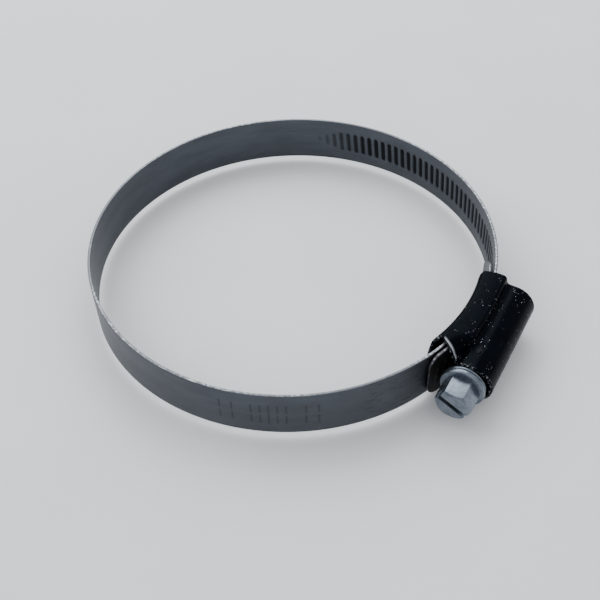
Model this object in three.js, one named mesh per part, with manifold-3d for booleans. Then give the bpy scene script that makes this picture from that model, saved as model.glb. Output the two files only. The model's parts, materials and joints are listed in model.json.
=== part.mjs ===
// Worm-drive hose clamp: a spring-steel band, a folded housing, a slotted hex screw and its washer.
// Millimetres, +Z up. The ring lies flat, the housing sits on its +X side and the screw head points to -Y.
import * as THREE from 'three';
import { mergeVertices } from 'three/addons/utils/BufferGeometryUtils.js';
import Module from 'manifold-3d';

// ---------------------------------------------------------------- driving dimensions
const BAND_WIDTH = 12;
const BAND_THICK = 0.7;
const START_R = 46.3;          // band's middle surface where it leaves the housing centre
const GROWTH = 1.2;            // how much further out the second layer lies, one turn later
const RING_SHIFT_X = -0.4;     // the ring's centre, seen from the housing's frame
const LINK_COUNT = 24;         // the moving strip, cut into this many short links
const LINK_GAP = 0.3;
const FIXED_HALF = 11;         // the fixed inner end reaches this far past the housing's centre
const TONGUE_LENGTH = 17;      // and this far the other way, as a tongue under the threaded layer
const TONGUE_DROP = 0.9;       // the tongue's tip is bent inwards by this much
const TONGUE_STRAIGHT = 10;    // the tongue is not bent up to here
const TAIL = 20;               // the free end reaches this far past the housing's centre
const END_ROUND = 3;           // corner radius of the free end

const THREAD_PITCH = 2;
const THREAD_LENGTH = 112;     // from the free end back round the ring
const GROOVE_WIDTH = 1.1;
const GROOVE_HEIGHT = 5.6;
const GROOVE_DEPTH = 0.3;
const GROOVE_SLANT = THREE.MathUtils.degToRad(-5.5);   // right-handed

const SHEET = 0.85;            // housing sheet
const SIDE_GAP = 0.3;          // between the band's edges and the saddle's side walls
const SADDLE_R = 44.2;         // saddle's inner face
const SADDLE_TOP_R = 49;       // where the side walls turn into the tube
const SADDLE_HEAD_END = 13.5;
const SADDLE_FAR_END = 9.5;
const TUBE_X = 51.2;
const TUBE_R = 4.9;
const TUBE_HEAD_END = 16.4;
const TUBE_FAR_END = 9.8;
const DIMPLE_Y = -11.2;
const DIMPLE_R = 0.9;

const SCREW_X = 50.2;
const WORM_R = 2.2;
const WORM_ROOT_R = 1.6;
const WORM_TURNS = 8;
const WORM_START = -8;         // thread starts here, nearest the head
const NECK_R = 2.7;
const NECK_GROOVE_R = 2.1;
const NECK_GROOVE_WIDTH = 2.8;
const FLANGE_R = 4.95;
const FLANGE_FRONT = -18.8;
const FLANGE_THICK = 1.1;
const WASHER_R = 4.75;
const WASHER_THICK = 0.6;
const WASHER_CLEARANCE = 0.3;
const HEX_FLATS = 7;
const HEX_END = -24;
const HEX_CHAMFER = 0.5;
const HEX_TURN = THREE.MathUtils.degToRad(30);     // a corner points away from the ring
const SLOT_WIDTH = 1.2;
const SLOT_DEPTH = 1.8;
const SLOT_TURN = THREE.MathUtils.degToRad(-62);   // the slot runs from flat to flat

const MID_Z = BAND_WIDTH / 2;

// ---------------------------------------------------------------- boolean helpers
const wasm = await Module();
wasm.setup();
const { Manifold, Mesh } = wasm;

/** Closed three.js geometry to a manifold solid. */
function solid(geometry) {
  const bare = new THREE.BufferGeometry();
  bare.setAttribute('position', geometry.getAttribute('position'));
  if (geometry.index) bare.setIndex(geometry.index);
  const g = mergeVertices(bare, 1e-5);
  return new Manifold(new Mesh({
    numProp: 3,
    vertProperties: new Float32Array(g.getAttribute('position').array),
    triVerts: new Uint32Array(g.index.array),
  }));
}

/** Manifold solid back to a flat-shaded three.js geometry. */
function geometryOf(manifold) {
  const { vertProperties, triVerts } = manifold.getMesh();
  const g = new THREE.BufferGeometry();
  g.setAttribute('position', new THREE.BufferAttribute(new Float32Array(vertProperties), 3));
  g.setIndex([...triVerts]);
  g.computeVertexNormals();
  return g;
}

const unite = (...parts) => parts.map((p) => (p.isBufferGeometry ? solid(p) : p)).reduce((a, b) => a.add(b));
const cut = (body, ...tools) => tools.reduce((a, t) => a.subtract(t.isBufferGeometry ? solid(t) : t),
  body.isBufferGeometry ? solid(body) : body);

/** A box from its low and high corners. */
function block([x0, y0, z0], [x1, y1, z1]) {
  return new THREE.BoxGeometry(x1 - x0, y1 - y0, z1 - z0).translate((x0 + x1) / 2, (y0 + y1) / 2, (z0 + z1) / 2);
}

/** A cylinder along Y, centred on the given X and Z. */
function rodY(x, z, radius, y0, y1, segments = 48, turn = 0) {
  return new THREE.CylinderGeometry(radius, radius, y1 - y0, segments)
    .rotateY(turn)
    .translate(x, (y0 + y1) / 2, z);
}

// ---------------------------------------------------------------- band
/** Point on the band's middle surface, `s` mm along it from the housing's centre, `out` mm outwards. */
function onBand(s, out = 0) {
  const theta = (2 * Math.PI / GROWTH) * (Math.sqrt(START_R ** 2 + GROWTH * s / Math.PI) - START_R);
  const bent = Math.max(0, -s - TONGUE_STRAIGHT) / (TONGUE_LENGTH - TONGUE_STRAIGHT);
  const r = START_R + GROWTH * theta / (2 * Math.PI) + out - TONGUE_DROP * bent ** 2;
  return new THREE.Vector2(RING_SHIFT_X + r * Math.cos(theta), -r * Math.sin(theta));
}

/** A closed strip of band from s0 to s1, whose half width may change along its length. */
function strip(s0, s1, halfWidth = () => BAND_WIDTH / 2, stations = null) {
  const at = stations ?? Array.from({ length: 7 }, (_, i) => s0 + (s1 - s0) * i / 6);
  const positions = [];
  for (const s of at) {
    for (const [out, side] of [[-1, -1], [1, -1], [1, 1], [-1, 1]]) {
      const p = onBand(s, out * BAND_THICK / 2);
      positions.push(p.x, p.y, MID_Z + side * halfWidth(s));
    }
  }
  const index = [];
  const quad = (a, b, c, d) => index.push(a, b, c, a, c, d);
  for (let i = 0; i + 1 < at.length; i++) {
    for (let k = 0; k < 4; k++) {
      quad(4 * i + k, 4 * i + (k + 1) % 4, 4 * i + 4 + (k + 1) % 4, 4 * i + 4 + k);
    }
  }
  const last = 4 * (at.length - 1);
  quad(3, 2, 1, 0);
  quad(last, last + 1, last + 2, last + 3);
  const g = new THREE.BufferGeometry();
  g.setAttribute('position', new THREE.Float32BufferAttribute(positions, 3));
  g.setIndex(index);
  return g;
}

/** Cutter for one thread groove, pressed into the band's inner face at `s`. */
function groove(s) {
  const p = onBand(s, -BAND_THICK / 2);
  const q = onBand(s + 0.1, -BAND_THICK / 2);
  return new THREE.BoxGeometry(GROOVE_WIDTH, 2 * GROOVE_DEPTH, GROOVE_HEIGHT)
    .rotateY(GROOVE_SLANT)
    .rotateZ(Math.atan2(q.y - p.y, q.x - p.x))
    .translate(p.x, p.y, MID_Z);
}

// arc length of one whole turn, and of the whole strip
const TURN = 2 * Math.PI * START_R + Math.PI * GROWTH;
const BAND_END = TURN + TAIL;
const LINK_LENGTH = (BAND_END - FIXED_HALF) / LINK_COUNT;
const grooves = [];
for (let s = BAND_END - 2.4; s > BAND_END - THREAD_LENGTH; s -= THREAD_PITCH) grooves.push(s);

function fixedInnerEnd() {
  const tip = (s) => BAND_WIDTH / 2 - 3.2 * Math.max(0, (-s - TONGUE_STRAIGHT - 2) / 5) ** 2;
  const stations = Array.from({ length: 15 }, (_, i) => -TONGUE_LENGTH + 0.01
    + (TONGUE_LENGTH + FIXED_HALF - LINK_GAP / 2) * i / 14);
  return geometryOf(solid(strip(0, 0, tip, stations)));
}

function bandLink(i) {
  const s0 = FIXED_HALF + i * LINK_LENGTH + LINK_GAP / 2;
  const isLast = i === LINK_COUNT - 1;
  const s1 = FIXED_HALF + (i + 1) * LINK_LENGTH - (isLast ? 0 : LINK_GAP / 2);
  let body;
  if (isLast) {
    // the free end's corners are rounded
    const halfWidth = (s) => {
      const u = Math.max(0, s - (s1 - END_ROUND));
      return BAND_WIDTH / 2 - END_ROUND + Math.sqrt(Math.max(0, END_ROUND ** 2 - u ** 2));
    };
    const round = [0, 15, 30, 45, 60, 75, 90].map((a) => s1 - END_ROUND
      + END_ROUND * Math.sin(THREE.MathUtils.degToRad(a)));
    body = solid(strip(s0, s1, halfWidth, [s0, s0 + 2.3, s0 + 4.6, s0 + 7, ...round]));
  } else {
    body = solid(strip(s0, s1));
  }
  for (const s of grooves) {
    if (s > s0 - GROOVE_WIDTH && s < s1 + GROOVE_WIDTH) body = body.subtract(solid(groove(s)));
  }
  return geometryOf(body);
}

// ---------------------------------------------------------------- housing
/** A sector of a ring round the ring's centre, its ends square to the screw. */
function ringSector(r0, r1, y0, y1, z0, z1) {
  const shape = new THREE.Shape();
  const a0 = Math.asin(y0 / r1);
  const a1 = Math.asin(y1 / r1);
  shape.absarc(0, 0, r1, a0 - 0.08, a1 + 0.08, false);
  shape.absarc(0, 0, r0, a1 + 0.08, a0 - 0.08, true);
  const g = new THREE.ExtrudeGeometry(shape, { depth: z1 - z0, bevelEnabled: false, curveSegments: 14 })
    .translate(0, 0, z0);
  return solid(g).intersect(solid(block([r0 - 8, y0, z0 - 1], [r1 + 2, y1, z1 + 1])));
}

function housing() {
  const low = -SIDE_GAP - SHEET;
  const high = BAND_WIDTH + SIDE_GAP + SHEET;
  const bore = TUBE_R - SHEET;
  const outside = unite(
    ringSector(SADDLE_R, SADDLE_TOP_R, -SADDLE_HEAD_END, SADDLE_FAR_END, low, high),
    rodY(TUBE_X, MID_Z, TUBE_R, -TUBE_HEAD_END, TUBE_FAR_END),
    block([TUBE_X - 3.6, -TUBE_HEAD_END, MID_Z - TUBE_R], [TUBE_X, TUBE_FAR_END, MID_Z + TUBE_R]),
  );
  const inside = unite(
    ringSector(SADDLE_R + SHEET, SADDLE_TOP_R - SHEET, -SADDLE_HEAD_END - 1, SADDLE_FAR_END + 1,
      -SIDE_GAP, BAND_WIDTH + SIDE_GAP),
    rodY(TUBE_X, MID_Z, bore, -TUBE_HEAD_END - 1, TUBE_FAR_END + 1),
    block([TUBE_X - 5.5, -TUBE_HEAD_END - 1, MID_Z - bore], [TUBE_X, TUBE_FAR_END + 1, MID_Z + bore]),
  );
  // the dimple's inner side stands in the screw's groove
  const reach = NECK_GROOVE_R + 0.35;
  const peg = (side) => new THREE.CylinderGeometry(DIMPLE_R, DIMPLE_R, bore + 0.4 - reach, 16)
    .rotateX(Math.PI / 2)
    .translate(SCREW_X, DIMPLE_Y, MID_Z + side * (bore + 0.4 + reach) / 2);
  return geometryOf(unite(cut(outside, inside), peg(1), peg(-1)));
}

// ---------------------------------------------------------------- screw
/** Threaded shaft as one closed surface: its radius follows the helix round and along the axis. */
function worm(from) {
  const round = 24;
  const perTurn = 8;
  const to = WORM_START + WORM_TURNS * THREAD_PITCH;
  const rows = Math.round((to - from) / THREAD_PITCH * perTurn);
  const positions = [];
  for (let j = 0; j <= rows; j++) {
    const y = from + (to - from) * j / rows;
    for (let i = 0; i < round; i++) {
      const a = 2 * Math.PI * i / round;
      const phase = ((y / THREAD_PITCH - i / round) % 1 + 1) % 1;
      const lobe = THREE.MathUtils.clamp(1.6 * (0.5 + 0.5 * Math.cos(2 * Math.PI * phase)) - 0.3, 0, 1);
      const fade = THREE.MathUtils.smoothstep(y, WORM_START, WORM_START + 1)
        * (1 - THREE.MathUtils.smoothstep(y, to - 1, to));
      const r = WORM_ROOT_R + (WORM_R - WORM_ROOT_R) * lobe * fade;
      positions.push(SCREW_X + r * Math.sin(a), y, MID_Z + r * Math.cos(a));
    }
  }
  const index = [];
  for (let j = 0; j < rows; j++) {
    for (let i = 0; i < round; i++) {
      const a = j * round + i;
      const b = j * round + (i + 1) % round;
      index.push(a, b, b + round, a, b + round, a + round);
    }
  }
  for (let i = 1; i + 1 < round; i++) {
    index.push(0, i + 1, i);
    index.push(rows * round, rows * round + i, rows * round + i + 1);
  }
  const g = new THREE.BufferGeometry();
  g.setAttribute('position', new THREE.Float32BufferAttribute(positions, 3));
  g.setIndex(index);
  return g;
}

/** A turned profile of [radius, y] points, from axis to axis, as a solid along Y. */
function turned(profile, segments = 48) {
  return new THREE.LatheGeometry(profile.map(([r, y]) => new THREE.Vector2(r, y)), segments)
    .translate(SCREW_X, 0, MID_Z);
}

function screw() {
  const corner = HEX_FLATS / Math.sqrt(3);
  const hexBack = FLANGE_FRONT + 0.4;
  const hex = solid(rodY(SCREW_X, MID_Z, corner, HEX_END, hexBack, 6, HEX_TURN)).intersect(solid(turned([
    [0, HEX_END], [HEX_FLATS / 2 - 0.1, HEX_END], [corner + 0.05, HEX_END + HEX_CHAMFER],
    [corner + 0.05, hexBack + 0.1], [0, hexBack + 0.1],
  ])));
  const grooveFrom = DIMPLE_Y - NECK_GROOVE_WIDTH / 2;
  const grooveTo = DIMPLE_Y + NECK_GROOVE_WIDTH / 2;
  const neckEnd = WORM_START - 0.3;
  const body = turned([
    [0, FLANGE_FRONT], [FLANGE_R - 0.2, FLANGE_FRONT], [FLANGE_R, FLANGE_FRONT + 0.2],
    [FLANGE_R, FLANGE_FRONT + FLANGE_THICK], [NECK_R, FLANGE_FRONT + FLANGE_THICK],
    [NECK_R, grooveFrom], [NECK_GROOVE_R, grooveFrom], [NECK_GROOVE_R, grooveTo],
    [NECK_R - 0.3, grooveTo], [NECK_R - 0.3, neckEnd], [0, neckEnd],
  ]);
  const slot = block([-SLOT_WIDTH / 2, HEX_END - 1, -6], [SLOT_WIDTH / 2, HEX_END + SLOT_DEPTH, 6])
    .rotateY(SLOT_TURN)
    .translate(SCREW_X, 0, MID_Z);
  return geometryOf(cut(unite(hex, body, worm(neckEnd - 0.5)), slot));
}

function washer() {
  const back = FLANGE_FRONT + FLANGE_THICK + WASHER_CLEARANCE;
  return geometryOf(cut(rodY(SCREW_X, MID_Z, WASHER_R, back, back + WASHER_THICK),
    rodY(SCREW_X, MID_Z, NECK_R + WASHER_CLEARANCE, back - 1, back + WASHER_THICK + 1)));
}

// ---------------------------------------------------------------- scene graph
const steel = { color: 0x4b4f57, roughness: 0.45, metalness: 0.85 };
const enamel = { color: 0x08090c, roughness: 0.22, metalness: 0.1 };
const zinc = { color: 0xa9b4c0, roughness: 0.35, metalness: 0.9 };

const clamp = new THREE.Group();
clamp.name = 'hose_clamp';

function add(name, geometry, look) {
  const mesh = new THREE.Mesh(geometry, new THREE.MeshStandardMaterial(look));
  mesh.name = name;
  clamp.add(mesh);
}

add('housing', housing(), enamel);
add('band_fixed_end', fixedInnerEnd(), steel);
for (let i = 0; i < LINK_COUNT; i++) {
  add(`band_link_${String(i + 1).padStart(2, '0')}`, bandLink(i), steel);
}
add('worm_screw', screw(), zinc);
add('thrust_washer', washer(), zinc);

// the origin is the middle of the object's underside
const box = new THREE.Box3().setFromObject(clamp);
clamp.position.set(-(box.min.x + box.max.x) / 2, -(box.min.y + box.max.y) / 2, -box.min.z);

export default clamp;
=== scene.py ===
"""Worm-drive hose clamp: slate-grey band with a pressed thread, black enamelled housing, zinc-plated screw.

The band is one strip that bends evenly, so it is built once as a single surface and then parted at the
middle of each link, so that every stretch spans one hinge.
"""
import json
import math

import bmesh
import bpy
import numpy as np
from mathutils import Matrix, Vector


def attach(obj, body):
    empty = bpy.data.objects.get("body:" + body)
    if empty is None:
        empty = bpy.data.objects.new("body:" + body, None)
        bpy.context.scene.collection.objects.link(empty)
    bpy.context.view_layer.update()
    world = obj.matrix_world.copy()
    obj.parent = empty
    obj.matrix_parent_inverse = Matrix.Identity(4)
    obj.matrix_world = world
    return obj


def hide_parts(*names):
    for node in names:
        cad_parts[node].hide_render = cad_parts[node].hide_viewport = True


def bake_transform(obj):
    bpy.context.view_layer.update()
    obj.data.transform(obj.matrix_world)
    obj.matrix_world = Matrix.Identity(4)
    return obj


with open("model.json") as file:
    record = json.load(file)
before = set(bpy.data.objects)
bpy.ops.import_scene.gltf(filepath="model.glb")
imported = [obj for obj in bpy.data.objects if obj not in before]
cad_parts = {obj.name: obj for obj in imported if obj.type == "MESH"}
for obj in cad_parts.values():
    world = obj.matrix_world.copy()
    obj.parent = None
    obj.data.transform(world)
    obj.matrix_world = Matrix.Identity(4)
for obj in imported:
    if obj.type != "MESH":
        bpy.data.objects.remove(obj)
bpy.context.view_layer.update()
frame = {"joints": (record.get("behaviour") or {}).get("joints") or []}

MM = 0.001

# ------------------------------------------------------------------ driving dimensions, in mm
BAND_WIDTH = 12.0
BAND_THICK = 0.7
BAND_EDGE = 0.2                # how rounded the band's edges are
FLAT_POINTS = 45               # across each face of the band's section
EDGE_POINTS = 7                # round each edge of it
FINE_STEP = 0.16               # along the band where it is grooved or stamped
COARSE_STEP = 0.5              # and where it is plain
START_R = 46.3                 # band's middle surface at the housing, inner layer
GROWTH = 1.2                   # the second layer lies this much further out
RING_SHIFT_X = -0.4
FIXED_HALF = 11.0              # first hinge, measured along the band from the housing's centre
LINK_COUNT = 24
TAIL = 20.0                    # the free end reaches this far past the housing's centre
END_ROUND = 3.0                # corner radius of the free end
TONGUE_LENGTH = 17.0           # the inner end reaches this far the other way
TONGUE_STRAIGHT = 10.0         # and is straight up to here
TONGUE_DROP = 0.9              # its tip is bent inwards by this much
TONGUE_NARROW = 3.2            # and narrows by this much on each side
TURN = 2 * math.pi * START_R + math.pi * GROWTH
BAND_END = TURN + TAIL
LINK_LENGTH = (BAND_END - FIXED_HALF) / LINK_COUNT

THREAD_PITCH = 2.0
THREAD_LENGTH = 112.0
THREAD_FROM_END = 2.4          # last groove, from the free end
GROOVE_COUNT = 55
GROOVE_HALF = 0.55
GROOVE_HALF_HEIGHT = 2.75
GROOVE_BLEND = 0.27            # the pressed wall spreads this far to both sides
GROOVE_DEPTH = 0.36            # inside
RIDGE_HEIGHT = 0.2             # outside, where the pressed steel is thinner
GROOVE_SLANT = math.tan(math.radians(-5.5))

STAMP_PLACE = 54.0             # middle of the stamped ticks along the band
STAMP_REACH = 12.0             # and how far they may reach from there
STAMP_DEPTH = 0.07
STAMP_DIVIDER = (3.2, 9.0)     # from, to, across the band
STAMP_COLUMNS = (1.8, 3.6, 7.6, 10.2)
STAMP_ROWS = (3.4, 6.6)
STAMP_TICK = 2.2

SHEET = 0.85                   # thickness of the housing's steel
SIDE_GAP = 0.3                 # between the band's edge and the saddle's side wall
SADDLE_R = 43.8                # the saddle's face towards the hose
TUBE_X = 51.2
TUBE_R = 4.9
BEND_R = 1.15                  # fold between the saddle's floor and its side walls
SHOULDER_R = 0.9               # where a side wall turns down to the crease
SHOULDER_DROP = 0.2            # the side wall falls by this much towards it
PINCH_LENGTH = 0.24            # share of the housing that the pinched mouth takes
PINCH_FOLD_X = 46.3            # the pinched wall turns down here
PINCH_DROP = 0.85              # after falling by this much
PINCH_CREASE_X = 47.55         # and meets the tube here
HOUSING_ROWS = 120
RIM_ROUND = 0.12
TUBE_HEAD_END = 16.4
TUBE_FAR_END = 9.8
DIMPLE = (50.4, -11.0)         # x and y of its middle
DIMPLE_LENGTH = 2.3
DIMPLE_WIDTH = 0.85
DIMPLE_DEPTH = 0.62

SCREW_X = 50.2
SCREW_PIVOT_Y = -18.0
HEX_FLATS = 7.0
HEX_END = -24.0
HEX_BEVEL = 0.16
CHAMFER_IN = 0.25              # the end face's chamfer starts this far inside the flats
CHAMFER_LENGTH = 0.62
FLANGE_FRONT = -18.8
FLANGE_THICK = 1.1
FLANGE_R = 4.95
SLOT_WIDTH = 1.2
SLOT_DEPTH = 1.8
SLOT_TURN = math.radians(-28)  # from +X towards +Z
WORM_R = 2.05
WORM_ROOT_R = 1.6
WORM_START = -8.0
WORM_TURNS = 8
NECK_R = 2.7
NECK_CORNER_R = 0.14
NECK_STEP = 0.3                # the neck is slimmer between its groove and the worm
NECK_GROOVE_R = 2.1
NECK_GROOVE_WIDTH = 2.8
WASHER_R = 4.75
WASHER_THICK = 0.6
WASHER_CLEARANCE = 0.3

MID_Z = BAND_WIDTH / 2

screw_joint = next(j for j in frame["joints"] if j["name"] == "screw_turn")
ORIGIN = np.array(screw_joint["pos_m"]) - np.array([SCREW_X, SCREW_PIVOT_Y, MID_Z]) * MM


def place(points):
    """Points in the clamp's own millimetres, to metres in the frame."""
    return np.asarray(points, float) * MM + ORIGIN


def smooth(edge0, edge1, x):
    """0 below edge0, 1 above edge1 and a soft S between them."""
    t = np.clip((np.asarray(x, float) - edge0) / (edge1 - edge0), 0, 1)
    return t * t * (3 - 2 * t)


# ------------------------------------------------------------------ mesh helpers
def mesh_object(name, vertices, faces, normals=None, attributes=None, uv=None):
    """A smooth object, with masks and texture coordinates given for each vertex."""
    mesh = bpy.data.meshes.new(name)
    mesh.from_pydata([tuple(v) for v in vertices], [], [tuple(int(i) for i in f) for f in faces])
    mesh.update()
    mesh.shade_smooth()
    for key, values in (attributes or {}).items():
        layer = mesh.attributes.new(key, "FLOAT", "POINT")
        layer.data.foreach_set("value", np.asarray(values, np.float32))
    if uv is not None:
        layer = mesh.uv_layers.new(name="strip")
        loops = np.zeros(len(mesh.loops), np.int32)
        mesh.loops.foreach_get("vertex_index", loops)
        layer.data.foreach_set("uv", np.asarray(uv, np.float32)[loops].ravel())
    if normals is not None:
        mesh.normals_split_custom_set_from_vertices([tuple(n) for n in normals])
    obj = bpy.data.objects.new(name, mesh)
    bpy.context.scene.collection.objects.link(obj)
    return obj


def grid_faces(rows, columns, closed_rows=False, closed_columns=True):
    """Quads of a grid of vertices, row by row."""
    faces = []
    for j in range(rows if closed_rows else rows - 1):
        for i in range(columns if closed_columns else columns - 1):
            a, b = j * columns + i, j * columns + (i + 1) % columns
            c, d = ((j + 1) % rows) * columns + (i + 1) % columns, ((j + 1) % rows) * columns + i
            faces.append((a, b, c, d))
    return faces


def grid_normals(points):
    """Unit normals of a grid that is closed along its second axis."""
    along = np.gradient(points, axis=0)
    across = np.roll(points, -1, axis=1) - np.roll(points, 1, axis=1)
    n = np.cross(across, along)
    return n / np.maximum(np.linalg.norm(n, axis=2, keepdims=True), 1e-12)


# ------------------------------------------------------------------ band
def band_point(s, out=0.0):
    """Place and outward direction on the band's middle surface, s mm along it."""
    s = np.asarray(s, float)
    theta = (2 * math.pi / GROWTH) * (np.sqrt(START_R ** 2 + GROWTH * s / math.pi) - START_R)
    bent = np.maximum(0, -s - TONGUE_STRAIGHT) / (TONGUE_LENGTH - TONGUE_STRAIGHT)
    r = START_R + GROWTH * theta / (2 * math.pi) + out - TONGUE_DROP * bent ** 2
    return RING_SHIFT_X + r * np.cos(theta), -r * np.sin(theta)


def groove_places():
    """Each pressed groove as (place, height, depth), the last two from 0 to 1: the run-out is shallow."""
    places = []
    for k in range(GROOVE_COUNT):
        s = BAND_END - THREAD_FROM_END - THREAD_PITCH * (GROOVE_COUNT - 1 - k)
        places.append((s, min(1.0, 0.25 + 0.25 * k), min(1.0, 0.35 + 0.085 * k)))
    return places


def pressed(s, z):
    """How far the thread is pressed outwards at (s, z), from 0 to 1."""
    depth = np.zeros(np.broadcast(s, z).shape)
    floor_half, rim_half = GROOVE_HALF - GROOVE_BLEND, GROOVE_HALF + GROOVE_BLEND
    for centre, tall, deep in groove_places():
        along = s - centre - (z - MID_Z) * GROOVE_SLANT
        across = np.maximum(0, np.abs(z - MID_Z) - (GROOVE_HALF_HEIGHT * tall - GROOVE_HALF))
        d = np.hypot(along, across * 0.75)
        depth = np.maximum(depth, deep * (1 - smooth(floor_half, rim_half, d)))
    return depth


def stamped(s, z):
    """Shallow stamped ticks on the outer face: a divider, with short bars on both sides of it."""
    strokes = [(0.0, *STAMP_DIVIDER)]
    for column in STAMP_COLUMNS:
        for low in STAMP_ROWS:
            strokes += [(-column, low, low + STAMP_TICK), (column, low, low + STAMP_TICK)]
    depth = np.zeros(np.broadcast(s, z).shape)
    for column, low, high in strokes:
        d = np.hypot(s - STAMP_PLACE - column, z - np.clip(z, low, high))
        depth = np.maximum(depth, 1 - smooth(0.08, 0.34, d))
    return depth


def half_width(s):
    """The band narrows at the tongue's tip and is rounded at the free end."""
    s = np.asarray(s, float)
    taper = TONGUE_STRAIGHT + 2
    tongue = TONGUE_NARROW * np.maximum(0, (-s - taper) / (TONGUE_LENGTH - taper)) ** 2
    u = np.clip(s - (BAND_END - END_ROUND), 0, END_ROUND - 0.001)
    return BAND_WIDTH / 2 - tongue - (END_ROUND - np.sqrt(END_ROUND ** 2 - u ** 2))


def band_stations():
    """Places along the band, close together where it is pressed or stamped, and where each strip starts."""
    thread_start = BAND_END - THREAD_LENGTH - 2
    breaks = [FIXED_HALF + (k - 0.5) * LINK_LENGTH for k in range(LINK_COUNT + 1)]
    breaks = [-TONGUE_LENGTH, *breaks, BAND_END]
    stations, marks = [], []
    for s0, s1 in zip(breaks, breaks[1:]):
        has_stamp = s0 < STAMP_PLACE + STAMP_REACH and s1 > STAMP_PLACE - STAMP_REACH
        step = FINE_STEP if s1 > thread_start or has_stamp else COARSE_STEP
        marks.append(len(stations))
        stations += list(np.linspace(s0, s1, max(2, int(round((s1 - s0) / step))), endpoint=False))
    marks.append(len(stations))
    return np.array([*stations, BAND_END])[:, None], marks


def band_section():
    """Round the band's section, from the outer face: share of the width, edge's rounding, height."""
    half_t = BAND_THICK / 2
    flat = np.linspace(-1, 1, FLAT_POINTS)
    level, edge = np.ones(FLAT_POINTS), np.ones(EDGE_POINTS)
    arc = np.linspace(0, math.pi, EDGE_POINTS + 2)[1:-1]
    share = np.concatenate([flat, edge, flat[::-1], -edge])
    bulge = BAND_EDGE * np.concatenate([0 * level, np.sin(arc), 0 * level, -np.sin(arc)])
    out = half_t * np.concatenate([level, np.cos(arc), -level, -np.cos(arc)])
    return share[None, :], bulge[None, :], out[None, :]


def make_band(material):
    """The whole band as one grid, parted into strips that each span one hinge."""
    s, marks = band_stations()
    share, bulge, out = band_section()
    face = BAND_THICK / 2 - 1e-6
    z = MID_Z + share * (half_width(s) - BAND_EDGE) + bulge
    depth = pressed(s, z)
    stamp = stamped(s, z) * (out > face)
    pit = (out < -face) * depth
    pushed = np.where(out > 0, RIDGE_HEIGHT, GROOVE_DEPTH) * depth
    x, y = band_point(s, out + pushed - STAMP_DEPTH * stamp)
    points = np.stack([x, y, z], axis=2)
    normals = grid_normals(points)
    # thread masks: painted shade goes in the grooves of the inner face, a painted highlight on the raised
    # teeth
    masks = {"edge": np.abs(bulge) / BAND_EDGE + 0 * s, "pit": pit, "ridge_highlight": depth - pit, "stamp": stamp}
    uv = np.stack([s + 0 * z, z], axis=2) / 100
    columns = points.shape[1]
    bodies = ["housing"] + [f"band_{k + 1:02d}" for k in range(LINK_COUNT)]
    last = len(marks) - 2
    for k in range(last + 1):
        count = marks[k + 1] - marks[k] + 1
        rows = slice(marks[k], marks[k] + count)
        faces = grid_faces(count, columns)
        if k == 0:
            faces.append(tuple(range(columns))[::-1])
        if k == last:
            faces.append(tuple(range((count - 1) * columns, count * columns)))
        strip = mesh_object(f"band_strip_{k:02d}", place(points[rows].reshape(-1, 3)), faces,
                            normals=normals[rows].reshape(-1, 3),
                            attributes={key: mask[rows].ravel() for key, mask in masks.items()},
                            uv=uv[rows].reshape(-1, 2))
        strip.data.materials.append(material)
        if k == 0:
            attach(strip, "housing")
            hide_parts("band_fixed_end")
        elif k == last:
            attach(strip, bodies[-1])
        else:
            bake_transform(strip)
            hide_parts(f"band_link_{k:02d}")


# ------------------------------------------------------------------ housing
def arc_points(cx, cy, r, a0, a1, n):
    a = np.radians(np.linspace(a0, a1, n))
    return [(cx + r * math.cos(t), cy + r * math.sin(t)) for t in a]


def crease_x(y):
    """Where the saddle's side wall meets the tube."""
    return 49.55 - 0.0035 * (y + 1) ** 2


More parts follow.
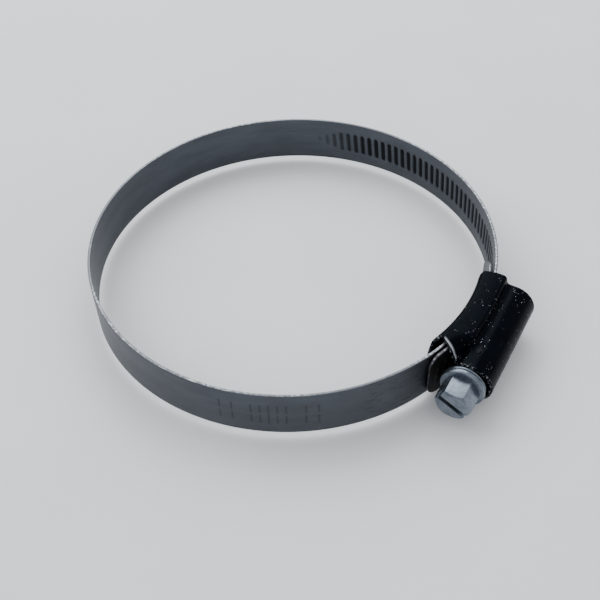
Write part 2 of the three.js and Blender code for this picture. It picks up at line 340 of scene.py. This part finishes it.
def housing_section(y_unit):
    """Outer surface of the folded sheet at one station, from 0 at the head end to 1 at the far end.

    Returns points (x, y, z) round the upper half, from the floor's middle to the tube's outer side. Towards
    the head end the side wall is pinched down over the band's edge, so the mouth slopes from fold to tube.
    """
    top = BAND_WIDTH + SIDE_GAP + SHEET
    leg = MID_Z + TUBE_R
    pinch = float(1 - smooth(0.0, PINCH_LENGTH, y_unit))
    points = []

    def station(low, high):
        return low + (high - low) * y_unit

    def on_saddle(y):
        return math.sqrt(SADDLE_R ** 2 - y * y)

    def add(x, y, z, low_x, low_z):
        points.append((x + (low_x - x) * pinch, y, z + (low_z - z) * pinch))

    # floor, from the middle of the band to the fold
    for u in np.arange(10) / 10:
        y = station(-15.6 + 1.1 * u ** 3, 8.6 - 1.6 * u ** 3)
        points.append((on_saddle(y), y, MID_Z + (top - BEND_R - MID_Z) * u))
    # fold
    fold = arc_points(BEND_R, top - BEND_R, BEND_R, 180, 90, 11)
    for u, (dx, z) in zip(np.linspace(0, 1, 11), fold):
        y = station(-14.5 + 1.5 * u ** 0.7, 7.0 + 2.2 * u ** 0.8)
        points.append((on_saddle(y) + dx, y, z))
    # side wall, from the fold to the shoulder
    inside = on_saddle(station(-13.0, 9.2)) + BEND_R
    for u in np.linspace(0.11, 1, 8):
        y = station(-12.9 - 2.3 * u ** 0.85, 9.2 + 0.7 * math.sin(math.pi * u / 2))
        outside = crease_x(y) - SHOULDER_R - SHOULDER_DROP
        add(inside + (outside - inside) * u, y, top - SHOULDER_DROP * u * u,
            inside + (PINCH_FOLD_X - inside) * u, top - PINCH_DROP * u ** 4)
    # shoulder, down to the crease
    shoulder = arc_points(0, top - SHOULDER_DROP - SHOULDER_R, SHOULDER_R, 86, 4, 9)
    for u, (dx, z) in zip(np.arange(1, 10) / 9, shoulder):
        y = station(-15.2 - 0.2 * u, TUBE_FAR_END + 0.1)
        add(crease_x(y) - SHOULDER_R - SHOULDER_DROP + dx, y, z,
            PINCH_FOLD_X + (PINCH_CREASE_X - PINCH_FOLD_X) * u, top - PINCH_DROP - 2.7 * u ** 0.9)
    # crease, rounded into the tube
    for u in np.arange(1, 7) / 7:
        y = station(-15.4 - (TUBE_HEAD_END - 15.4) * u, TUBE_FAR_END + 0.1 - 0.1 * u)
        add(crease_x(y) - 0.12 + 0.9 * u ** 1.5, y, leg + 0.85 * (1 - u) ** 2.2,
            PINCH_CREASE_X + 0.25 * u + 2.2 * u ** 3,
            leg - 1.3 - 0.4 * math.sin(math.pi * min(u * 1.6, 1)) + 1.3 * u)
    # tube
    for dx, z in arc_points(0, MID_Z, TUBE_R, 96, 0, 25):
        points.append((TUBE_X + dx, station(-TUBE_HEAD_END, TUBE_FAR_END), z))
    return points


def dimple(points):
    """The lengthwise dimple in the tube's top and underside: distance from its middle, 1 at its rim, and
    the part of the sheet that it is pressed into."""
    along = points[..., 1] - DIMPLE[1]
    across = points[..., 0] - DIMPLE[0] - 0.12 * along
    d = np.hypot(along / DIMPLE_LENGTH, across / DIMPLE_WIDTH)
    height = np.abs(points[..., 2] - MID_Z)
    on_tube = (height > 3.6) & (height < TUBE_R + 0.3) & (points[..., 0] > 48.8)
    return d, on_tube


def worn_line(points):
    """Bare metal along the mouth, from the fold down to the crease, on the upper side."""
    x, z = points[..., 0], points[..., 2]
    mouth = np.zeros(points.shape[:2])
    mouth[:3] = np.array([1.0, 0.9, 0.35])[:, None]
    span = smooth(43.4, 43.9, x) * (1 - smooth(47.3, 48.0, x)) * (z > 10.2)
    return 0.9 * mouth * span


def housing_rim(outer, inner, normals, direction):
    """Three rows that round off one end of the sheet, from its outer to its inner surface."""
    step = np.array([0, RIM_ROUND * direction, 0])
    return [outer - normals * 0.08 + step * 0.9, outer - normals * SHEET / 2 + step * 1.5,
            inner + normals * 0.08 + step * 0.9]


def make_housing(material):
    upper = np.array([housing_section(u) for u in np.linspace(0, 1, HOUSING_ROWS)])
    lower = upper[:, -2:0:-1].copy()
    lower[..., 2] = 2 * MID_Z - lower[..., 2]
    outer = np.concatenate([upper, lower], axis=1)
    normals = -grid_normals(outer)
    # the floor faces the hose, so its normal points to -X
    if normals[HOUSING_ROWS // 2, 0, 0] > 0:
        normals = -normals
    d, on_tube = dimple(outer)
    outer = outer - normals * (DIMPLE_DEPTH * (1 - smooth(0.45, 1.05, d)) * on_tube)[..., None]
    inner = outer - normals * SHEET
    far_rim = housing_rim(outer[-1], inner[-1], normals[-1], 1)
    head_rim = housing_rim(outer[0], inner[0], normals[0], -1)
    grid = np.array([*outer, *far_rim, *inner[::-1], *head_rim[::-1]])
    faces = [f[::-1] for f in grid_faces(len(grid), grid.shape[1], closed_rows=True)]
    # wear on the fold, the shoulder and the rims
    count = len(upper[0])
    around = np.concatenate([np.arange(count), np.arange(count - 2, 0, -1)])
    fold = np.exp(-((around - 15) / 4.0) ** 2) + 0.5 * np.exp(-((around - 33) / 3.0) ** 2)
    edge = np.zeros(grid.shape[:2])
    edge[:HOUSING_ROWS] = 0.55 * fold[None, :]
    for j in range(4):
        rows = [j, HOUSING_ROWS - 1 - j]
        edge[rows] = np.maximum(edge[rows], 1 - 0.25 * j)
    edge[HOUSING_ROWS:HOUSING_ROWS + 4] = 1
    edge[-4:] = 1
    # worn bare metal along the mouth; further down, a painted sheen in the dimple is added to the same mask
    wear_and_sheen = worn_line(grid)
    wear_and_sheen[HOUSING_ROWS:] = 0
    # painted sheen: the floor of the tube's dimple is lightened a little
    dimple_sheen = (1 - smooth(0.2, 1.0, d)) * on_tube
    wear_and_sheen[:HOUSING_ROWS] = np.maximum(wear_and_sheen[:HOUSING_ROWS], 0.06 * dimple_sheen)
    shell = mesh_object("housing_shell", place(grid.reshape(-1, 3)), faces,
                        attributes={"edge": edge.ravel(), "wear_and_sheen": wear_and_sheen.ravel()})
    shell.data.materials.append(material)
    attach(shell, "housing")
    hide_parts("housing")


# ------------------------------------------------------------------ screw
def turned(name, profile, segments=128):
    """A solid turned round the screw's axis from (radius, y) points: closed by discs where the profile
    starts and ends on the axis, and a ring where it stays off it."""
    body = [(r, y) for r, y in profile if r > 0]
    vertices = []
    for r, y in body:
        for a in np.arange(segments) * 2 * math.pi / segments:
            vertices.append((SCREW_X + r * math.sin(a), y, MID_Z + r * math.cos(a)))
    is_ring = profile[0][0] > 0
    faces = grid_faces(len(body), segments, closed_rows=is_ring)
    if not is_ring:
        last = (len(body) - 1) * segments
        faces += [tuple(range(segments))[::-1], tuple(range(last, last + segments))]
    return mesh_object(name, place(vertices), faces)


def boolean(obj, tool, operation):
    cut = obj.modifiers.new("cut", "BOOLEAN")
    cut.operation = operation
    cut.solver = "EXACT"
    cut.object = tool


def apply_modifiers(obj):
    """Keep the modified shape as the object's own mesh."""
    evaluated = obj.evaluated_get(bpy.context.evaluated_depsgraph_get())
    mesh = bpy.data.meshes.new_from_object(evaluated)
    obj.modifiers.clear()
    obj.data = mesh


def fix_normals(obj):
    """Turn every face outwards."""
    bm = bmesh.new()
    bm.from_mesh(obj.data)
    bmesh.ops.recalc_face_normals(bm, faces=bm.faces)
    bm.to_mesh(obj.data)
    bm.free()


def rounded(profile, radius, steps=4):
    """The profile with its inner corners rounded by short arcs."""
    out = [profile[0]]
    for a, b, c in zip(profile, profile[1:], profile[2:]):
        a, b, c = (np.array(p, float) for p in (a, b, c))
        u, v = a - b, c - b
        lu, lv = np.linalg.norm(u), np.linalg.norm(v)
        d = min(radius, lu * 0.45, lv * 0.45)
        p, q = b + u / lu * d, b + v / lv * d
        for t in np.linspace(0, 1, steps + 1):
            out.append(tuple((1 - t) ** 2 * p + 2 * t * (1 - t) * b + t * t * q))
    out.append(profile[-1])
    return out


def make_slot_tool():
    """A bar across the end face, as deep and wide as the screwdriver's slot."""
    mesh = bpy.data.meshes.new("slot_tool")
    bm = bmesh.new()
    bmesh.ops.create_cube(bm, size=1)
    bmesh.ops.scale(bm, vec=Vector((12, 2 * SLOT_DEPTH, SLOT_WIDTH)) * MM, verts=bm.verts)
    bmesh.ops.rotate(bm, cent=(0, 0, 0), matrix=Matrix.Rotation(-SLOT_TURN, 3, "Y"), verts=bm.verts)
    bmesh.ops.translate(bm, vec=Vector(place([SCREW_X, HEX_END, MID_Z])), verts=bm.verts)
    bm.to_mesh(mesh)
    bm.free()
    tool = bpy.data.objects.new("slot_tool", mesh)
    bpy.context.scene.collection.objects.link(tool)
    return tool


def make_head(material):
    """Hexagonal prism with a corner pointing away from the ring, chamfered and slotted."""
    corner = HEX_FLATS / math.sqrt(3)
    back = FLANGE_FRONT + 0.5
    vertices = []
    for y in (HEX_END, back):
        for a in np.radians(60 * np.arange(6)):
            vertices.append((SCREW_X + corner * math.cos(a), y, MID_Z + corner * math.sin(a)))
    faces = [tuple(range(6)), tuple(range(6, 12))[::-1]]
    faces += [(i, i + 6, (i + 1) % 6 + 6, (i + 1) % 6) for i in range(6)]
    head = mesh_object("screw_head", place(vertices), faces)
    fix_normals(head)
    chamfer = turned("chamfer_tool", [
        (0, HEX_END), (HEX_FLATS / 2 - CHAMFER_IN, HEX_END),
        (corner + 0.1, HEX_END + CHAMFER_LENGTH), (corner + 0.1, back + 1), (0, back + 1)])
    fix_normals(chamfer)
    slot = make_slot_tool()
    boolean(head, chamfer, "INTERSECT")
    boolean(head, slot, "DIFFERENCE")
    bevel = head.modifiers.new("soft edges", "BEVEL")
    bevel.width = HEX_BEVEL * MM
    bevel.segments = 3
    bevel.limit_method = "ANGLE"
    bevel.angle_limit = math.radians(20)
    apply_modifiers(head)
    for tool in (chamfer, slot):
        bpy.data.objects.remove(tool)
    head.data.shade_smooth()
    head.data.set_sharp_from_angle(angle=math.radians(30))
    head.data.materials.append(material)
    return head


def make_flange_and_neck(material):
    """Flange, neck and the neck's groove, in which the housing's dimples hold the screw."""
    groove = 0.5 * NECK_GROOVE_WIDTH
    neck_end = WORM_START - 0.3
    flange_back = FLANGE_FRONT + FLANGE_THICK
    profile = rounded([
        (0, FLANGE_FRONT), (HEX_FLATS / 2 + 0.35, FLANGE_FRONT - 0.02),
        (FLANGE_R - 0.15, FLANGE_FRONT + 0.12), (FLANGE_R, FLANGE_FRONT + 0.4),
        (FLANGE_R, flange_back), (NECK_R, flange_back),
        (NECK_R, DIMPLE[1] - groove), (NECK_GROOVE_R, DIMPLE[1] - groove),
        (NECK_GROOVE_R, DIMPLE[1] + groove), (NECK_R - NECK_STEP, DIMPLE[1] + groove),
        (NECK_R - NECK_STEP, neck_end), (WORM_ROOT_R, neck_end + 0.4), (0, neck_end + 0.4)], NECK_CORNER_R)
    flange = turned("screw_flange", profile)
    fix_normals(flange)
    flange.data.set_sharp_from_angle(angle=math.radians(40))
    flange.data.materials.append(material)
    return flange


def make_worm(material):
    """Right-handed worm, fading out at both ends."""
    around, per_turn = 72, 40
    start, end = WORM_START - 0.4, WORM_START + WORM_TURNS * THREAD_PITCH
    y = np.linspace(start, end, int((end - start) / THREAD_PITCH * per_turn))[:, None]
    a = np.linspace(0, 2 * math.pi, around, endpoint=False)[None, :]
    phase = (y / THREAD_PITCH - a / (2 * math.pi)) % 1.0
    lobe = smooth(0.12, 0.42, np.abs(phase - 0.5))
    fade = smooth(WORM_START, WORM_START + 1, y) * (1 - smooth(end - 1, end, y))
    r = WORM_ROOT_R + (WORM_R - WORM_ROOT_R) * lobe * fade
    points = np.stack([SCREW_X + r * np.sin(a), y + 0 * a, MID_Z + r * np.cos(a)], axis=2)
    faces = grid_faces(len(y), around)
    faces.append(tuple(range(around))[::-1])
    faces.append(tuple(range((len(y) - 1) * around, len(y) * around)))
    worm = mesh_object("screw_thread", place(points.reshape(-1, 3)), faces)
    fix_normals(worm)
    worm.data.materials.append(material)
    return worm


def make_washer(material):
    front = FLANGE_FRONT + FLANGE_THICK + WASHER_CLEARANCE
    back = front + WASHER_THICK
    bore = NECK_R + WASHER_CLEARANCE
    ring = [(bore, front + 0.1), (bore + 0.1, front), (WASHER_R - 0.18, front), (WASHER_R, front + 0.18),
            (WASHER_R, back - 0.12), (WASHER_R - 0.12, back), (bore + 0.1, back), (bore, back - 0.1)]
    washer = turned("washer_disc", ring)
    fix_normals(washer)
    washer.data.set_sharp_from_angle(angle=math.radians(50))
    washer.data.materials.append(material)
    return washer


# ------------------------------------------------------------------ materials
class Nodes:
    """Small helper for building a material's nodes."""

    def __init__(self, name):
        self.material = bpy.data.materials.new(name)
        self.material.use_nodes = True
        self.tree = self.material.node_tree
        self.tree.nodes.clear()
        self.shader = self.add("ShaderNodeBsdfPrincipled")
        output = self.add("ShaderNodeOutputMaterial")
        self.link(self.shader.outputs[0], output.inputs["Surface"])

    def add(self, kind, **inputs):
        node = self.tree.nodes.new(kind)
        for key, value in inputs.items():
            node.inputs[key.replace("_", " ")].default_value = value
        return node

    def link(self, a, b):
        self.tree.links.new(a, b)

    def coordinates(self, scale=(1, 1, 1), source="Object"):
        """Texture coordinates in millimetres, stretched by scale."""
        if source == "Object":
            out = self.add("ShaderNodeTexCoord").outputs["Object"]
            unit = 1000
        else:
            uv = self.add("ShaderNodeUVMap")
            uv.uv_map = "strip"
            out, unit = uv.outputs[0], 100
        mapping = self.add("ShaderNodeMapping")
        mapping.inputs["Scale"].default_value = [unit * v for v in scale]
        self.link(out, mapping.inputs["Vector"])
        return mapping.outputs[0]

    def noise(self, where, scale, detail=4.0, roughness=0.55):
        node = self.add("ShaderNodeTexNoise", Scale=scale, Detail=detail, Roughness=roughness)
        self.link(where, node.inputs["Vector"])
        return node.outputs["Fac"]

    def ramp(self, value, low, high, a=0.0, b=1.0):
        node = self.add("ShaderNodeMapRange")
        node.interpolation_type = "SMOOTHSTEP"
        self.link(value, node.inputs["Value"])
        for key, limit in (("From Min", low), ("From Max", high), ("To Min", a), ("To Max", b)):
            node.inputs[key].default_value = limit
        return node.outputs[0]

    def math(self, operation, a, b=0.5):
        node = self.add("ShaderNodeMath")
        node.operation = operation
        for socket, value in zip(node.inputs, (a, b)):
            if isinstance(value, (int, float)):
                socket.default_value = value
            else:
                self.link(value, socket)
        return node.outputs[0]

    def mix(self, factor, a, b):
        node = self.add("ShaderNodeMix")
        node.data_type = "RGBA"
        self.link(factor, node.inputs["Factor"])
        for socket, value in ((node.inputs[6], a), (node.inputs[7], b)):
            if isinstance(value, tuple):
                socket.default_value = (*value, 1.0)
            else:
                self.link(value, socket)
        return node.outputs[2]

    def attribute(self, name):
        node = self.add("ShaderNodeAttribute")
        node.attribute_name = name
        return node.outputs["Fac"]

    def bump(self, height, distance, strength=1.0, after=None):
        node = self.add("ShaderNodeBump", Strength=strength, Distance=distance * MM)
        self.link(height, node.inputs["Height"])
        if after is not None:
            self.link(after, node.inputs["Normal"])
        return node.outputs[0]


def band_material():
    """Coated spring steel: drawn grain, a few long scratches, painted shade in the grooves, a painted
    highlight on the thread's raised teeth, rubbed edges, darker towards the free end.
    """
    n = Nodes("band steel")
    strip = n.coordinates(source="strip")
    grain = n.noise(n.coordinates((1, 1, 1)), 3.2, 5, 0.65)
    blotch = n.noise(n.coordinates((0.08, 0.3, 1), "strip"), 1.0, 3)
    drawn = n.noise(n.coordinates((0.12, 7.0, 1), "strip"), 1.0, 4, 0.6)
    scratch = n.ramp(n.noise(n.coordinates((0.05, 9.0, 1), "strip"), 1.0, 2, 0.4), 0.70, 0.76)
    few = n.ramp(n.noise(n.coordinates((0.03, 0.25, 1), "strip"), 1.0, 2), 0.52, 0.62)
    scratch = n.math("MULTIPLY", scratch, few)
    pit, ridge_highlight, edge = n.attribute("pit"), n.attribute("ridge_highlight"), n.attribute("edge")
    base = n.mix(n.ramp(blotch, 0.3, 0.7), (0.060, 0.066, 0.079), (0.078, 0.086, 0.101))
    base = n.mix(n.ramp(drawn, 0.25, 0.75, 0.0, 0.35), base, (0.102, 0.111, 0.128))
    base = n.mix(n.math("MULTIPLY", scratch, 0.5), base, (0.22, 0.24, 0.27))
    # painted shade: the grooves of the inner face are darkened almost to black
    base = n.mix(n.ramp(pit, 0.10, 0.95, 0.0, 0.93), base, (0.004, 0.005, 0.007))
    # painted highlight: the thread's raised teeth are lightened
    base = n.mix(n.ramp(ridge_highlight, 0.6, 1.0, 0.0, 0.45), base, (0.16, 0.175, 0.20))
    base = n.mix(n.math("MULTIPLY", n.attribute("stamp"), 0.45), base, (0.018, 0.020, 0.025))
    along = n.add("ShaderNodeSeparateXYZ")
    n.link(strip, along.inputs[0])
    near = n.math("MULTIPLY", n.ramp(along.outputs[0], 16, 22), n.ramp(along.outputs[0], 30, 38, 1.0, 0.0))
    streaks = n.ramp(n.noise(n.coordinates((0.35, 1.6, 1), "strip"), 1.0, 5, 0.7), 0.56, 0.64)
    base = n.mix(n.math("MULTIPLY", n.math("MULTIPLY", near, streaks), 0.8), base, (0.012, 0.013, 0.016))
    # darker towards the free end, with brownish patches
    tip = n.ramp(along.outputs[0], BAND_END - 9, BAND_END - 2, 0.0, 0.85)
    rust = n.ramp(n.noise(n.coordinates(), 0.8, 4, 0.7), 0.45, 0.65)
    tip_darkening = n.mix(rust, (0.010, 0.010, 0.012), (0.045, 0.033, 0.022))
    base = n.mix(tip, base, tip_darkening)
    chips = n.ramp(n.noise(n.coordinates((0.9, 0.9, 0.9)), 1.6, 4, 0.7), 0.46, 0.60)
    stretch = n.ramp(n.noise(n.coordinates((0.035, 0.1, 1), "strip"), 1.0, 2), 0.42, 0.56)
    chips = n.math("MULTIPLY", chips, n.math("ADD", n.math("MULTIPLY", stretch, 0.75), 0.1))
    worn = n.math("MULTIPLY", n.ramp(edge, 0.35, 0.9), n.math("ADD", chips, 0.22))
    worn = n.math("MULTIPLY", worn, n.math("SUBTRACT", 1.0, n.math("MULTIPLY", tip, 0.7)))
    base = n.mix(worn, base, (0.52, 0.54, 0.57))
    n.link(base, n.shader.inputs["Base Color"])
    n.shader.inputs["Metallic"].default_value = 0.85
    rough = n.math("ADD", n.ramp(grain, 0.3, 0.7, 0.40, 0.50), n.math("MULTIPLY", pit, 0.2))
    n.link(rough, n.shader.inputs["Roughness"])
    fine = n.bump(grain, 0.012, 0.5)
    n.link(n.bump(drawn, 0.006, 0.5, fine), n.shader.inputs["Normal"])
    return n.material


def enamel_material():
    """Glossy black enamel with white flecks in patches, chipped rims, bare metal along the mouth and a
    painted sheen in the tube's dimple.
    """
    n = Nodes("black enamel")
    here = n.coordinates()
    marks = None
    for scale, radius, low in ((1.0, 0.12, 0.53), (2.0, 0.17, 0.55)):
        cells = n.add("ShaderNodeTexVoronoi", Scale=scale, Randomness=1.0)
        n.link(here, cells.inputs["Vector"])
        dots = n.ramp(cells.outputs["Distance"], radius * 0.6, radius, 1.0, 0.0)
        patchy = n.ramp(n.noise(here, 0.21 * scale, 3, 0.65), low, low + 0.05)
        flecks = n.math("MULTIPLY", dots, patchy)
        marks = flecks if marks is None else n.math("MAXIMUM", marks, flecks)
    scratch = n.ramp(n.noise(n.coordinates((4.0, 0.35, 4.0)), 1.0, 3, 0.5), 0.71, 0.75, 0.0, 0.35)
    edge = n.attribute("edge")
    chip = n.ramp(n.noise(here, 1.9, 5, 0.7), 0.54, 0.62)
    worn = n.math("MULTIPLY", n.math("MULTIPLY", n.ramp(edge, 0.55, 1.0), chip), 0.5)
    marks = n.math("MAXIMUM", n.math("MAXIMUM", marks, worn), scratch)
    # worn bare metal along the mouth, and the painted sheen in the dimple
    marks = n.math("MAXIMUM", marks, n.attribute("wear_and_sheen"))
    tone = n.mix(n.ramp(n.noise(here, 0.25, 2), 0.3, 0.7), (0.0006, 0.0009, 0.0018), (0.0012, 0.0020, 0.0040))
    n.link(n.mix(marks, tone, (0.42, 0.44, 0.47)), n.shader.inputs["Base Color"])
    n.link(n.ramp(n.noise(here, 1.1, 5, 0.6), 0.3, 0.75, 0.20, 0.36), n.shader.inputs["Roughness"])
    n.shader.inputs["Specular IOR Level"].default_value = 0.035
    n.shader.inputs["Specular Tint"].default_value = (0.55, 0.75, 1.0, 1.0)
    ripple = n.bump(n.noise(here, 0.9, 3, 0.5), 0.05, 0.35)
    n.link(n.bump(marks, 0.02, 0.4, ripple), n.shader.inputs["Normal"])
    return n.material


def zinc_material(name="zinc plate", dull=0.0):
    """Bluish zinc plate; dull darkens it."""
    n = Nodes(name)
    here = n.coordinates()
    cloud = n.noise(here, 0.55, 5, 0.65)
    grain = n.noise(here, 5.0, 5, 0.7)
    speck = n.ramp(n.noise(here, 3.1, 4, 0.75), 0.60, 0.68)
    base = n.mix(n.ramp(cloud, 0.3, 0.7), (0.105 - dull, 0.125 - dull, 0.155 - dull),
                 (0.185 - dull, 0.212 - dull, 0.25 - dull))
    base = n.mix(n.ramp(grain, 0.35, 0.75, 0.0, 0.35), base, (0.31, 0.345, 0.39))
    base = n.mix(n.math("MULTIPLY", speck, 0.45), base, (0.12, 0.13, 0.145))
    n.link(base, n.shader.inputs["Base Color"])
    n.shader.inputs["Metallic"].default_value = 0.9
    n.link(n.ramp(grain, 0.3, 0.75, 0.24, 0.40), n.shader.inputs["Roughness"])
    n.link(n.bump(grain, 0.02, 0.45), n.shader.inputs["Normal"])
    return n.material


# ------------------------------------------------------------------ studio
CAMERA_AZIMUTH = math.radians(-59.5)
CAMERA_ELEVATION = math.radians(44.6)
CAMERA_DISTANCE = 223.8        # from the ring's centre
CAMERA_FOCAL = 1.536           # focal length over the sensor's width
CAMERA_SENSOR = 36
RING_OFFSET = (-0.0088667, -0.04255)   # from the view's middle to the ring's centre, over its width
CAMERA_ROLL = math.radians(-2.22)


def make_camera():
    """The camera stands off from the ring's centre, and is then turned until that lies off the middle."""
    back = Vector((math.cos(CAMERA_AZIMUTH) * math.cos(CAMERA_ELEVATION),
                   math.sin(CAMERA_AZIMUTH) * math.cos(CAMERA_ELEVATION), math.sin(CAMERA_ELEVATION)))
    right = Vector((0, 0, 1)).cross(back).normalized()
    up = back.cross(right)
    forward = -back
    yaw = math.atan(RING_OFFSET[0] / CAMERA_FOCAL)
    pitch = math.atan(RING_OFFSET[1] / CAMERA_FOCAL)
    yawed_right = right * math.cos(yaw) + forward * math.sin(yaw)
    yawed_forward = -right * math.sin(yaw) + forward * math.cos(yaw)
    pitched_up = up * math.cos(pitch) - yawed_forward * math.sin(pitch)
    pitched_forward = up * math.sin(pitch) + yawed_forward * math.cos(pitch)
    c, s = math.cos(CAMERA_ROLL), math.sin(CAMERA_ROLL)
    axes = (yawed_right * c + pitched_up * s, -yawed_right * s + pitched_up * c, -pitched_forward)
    data = bpy.data.cameras.new("camera")
    data.sensor_width = CAMERA_SENSOR
    data.lens = CAMERA_SENSOR * CAMERA_FOCAL
    data.clip_start = 0.01
    data.clip_end = 10
    camera = bpy.data.objects.new("camera", data)
    bpy.context.scene.collection.objects.link(camera)
    ring_centre = Vector(place([0, 0, 0]))
    matrix = Matrix(axes).transposed().to_4x4()
    matrix.translation = ring_centre + back * CAMERA_DISTANCE * MM
    camera.matrix_world = matrix
    bpy.context.scene.camera = camera


def area_light(name, place_m, target, size, power, colour=(1, 1, 1)):
    data = bpy.data.lights.new(name, "AREA")
    data.size, data.energy, data.color = size, power, colour
    light = bpy.data.objects.new(name, data)
    light.location = place_m
    light.rotation_mode = "QUATERNION"
    light.rotation_quaternion = (Vector(target) - Vector(place_m)).to_track_quat("-Z", "Y")
    bpy.context.scene.collection.objects.link(light)


def make_floor():
    size, z = 1.6, -0.0002
    corners = [(-size, -size, z), (size, -size, z), (size, size, z), (-size, size, z)]
    floor = mesh_object("floor", corners, [(0, 1, 2, 3)])
    n = Nodes("pale floor")
    tone = n.noise(n.coordinates(), 0.02, 3)
    colour = n.mix(n.ramp(tone, 0.3, 0.7), (0.90, 0.90, 0.90), (0.93, 0.93, 0.93))
    n.link(colour, n.shader.inputs["Base Color"])
    n.shader.inputs["Roughness"].default_value = 0.9
    n.shader.inputs["Specular IOR Level"].default_value = 0.1
    floor.data.materials.append(n.material)


def make_studio():
    """A soft sky, brighter overhead than at the horizon, and two large soft lights."""
    world = bpy.data.worlds.new("studio")
    world.use_nodes = True
    tree = world.node_tree
    background = tree.nodes["Background"]
    background.inputs["Color"].default_value = (0.93, 0.96, 1.0, 1)
    direction = tree.nodes.new("ShaderNodeTexCoord")
    split = tree.nodes.new("ShaderNodeSeparateXYZ")
    tree.links.new(direction.outputs["Generated"], split.inputs[0])
    rise = tree.nodes.new("ShaderNodeMapRange")
    rise.interpolation_type = "SMOOTHSTEP"
    for key, value in (("From Min", -0.1), ("From Max", 0.7), ("To Min", 0.42), ("To Max", 1.0)):
        rise.inputs[key].default_value = value
    tree.links.new(split.outputs[2], rise.inputs["Value"])
    tree.links.new(rise.outputs[0], background.inputs["Strength"])
    bpy.context.scene.world = world
    area_light("window", (-0.25, 0.43, 0.50), (0, 0, 0), 0.5, 2.6, (0.93, 0.97, 1.0))
    area_light("left", (-0.75, -0.1, 0.7), (0, 0, 0), 0.8, 4.0)


# ------------------------------------------------------------------ build
make_camera()
make_floor()
make_studio()

make_band(band_material())
make_housing(enamel_material())

zinc = zinc_material()
head = make_head(zinc)
for piece in (head, make_flange_and_neck(zinc), make_worm(zinc)):
    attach(piece, "screw")
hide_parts("worm_screw")
washer_piece = make_washer(zinc_material("washer plate", 0.02))
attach(washer_piece, "screw")
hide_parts("thrust_washer")
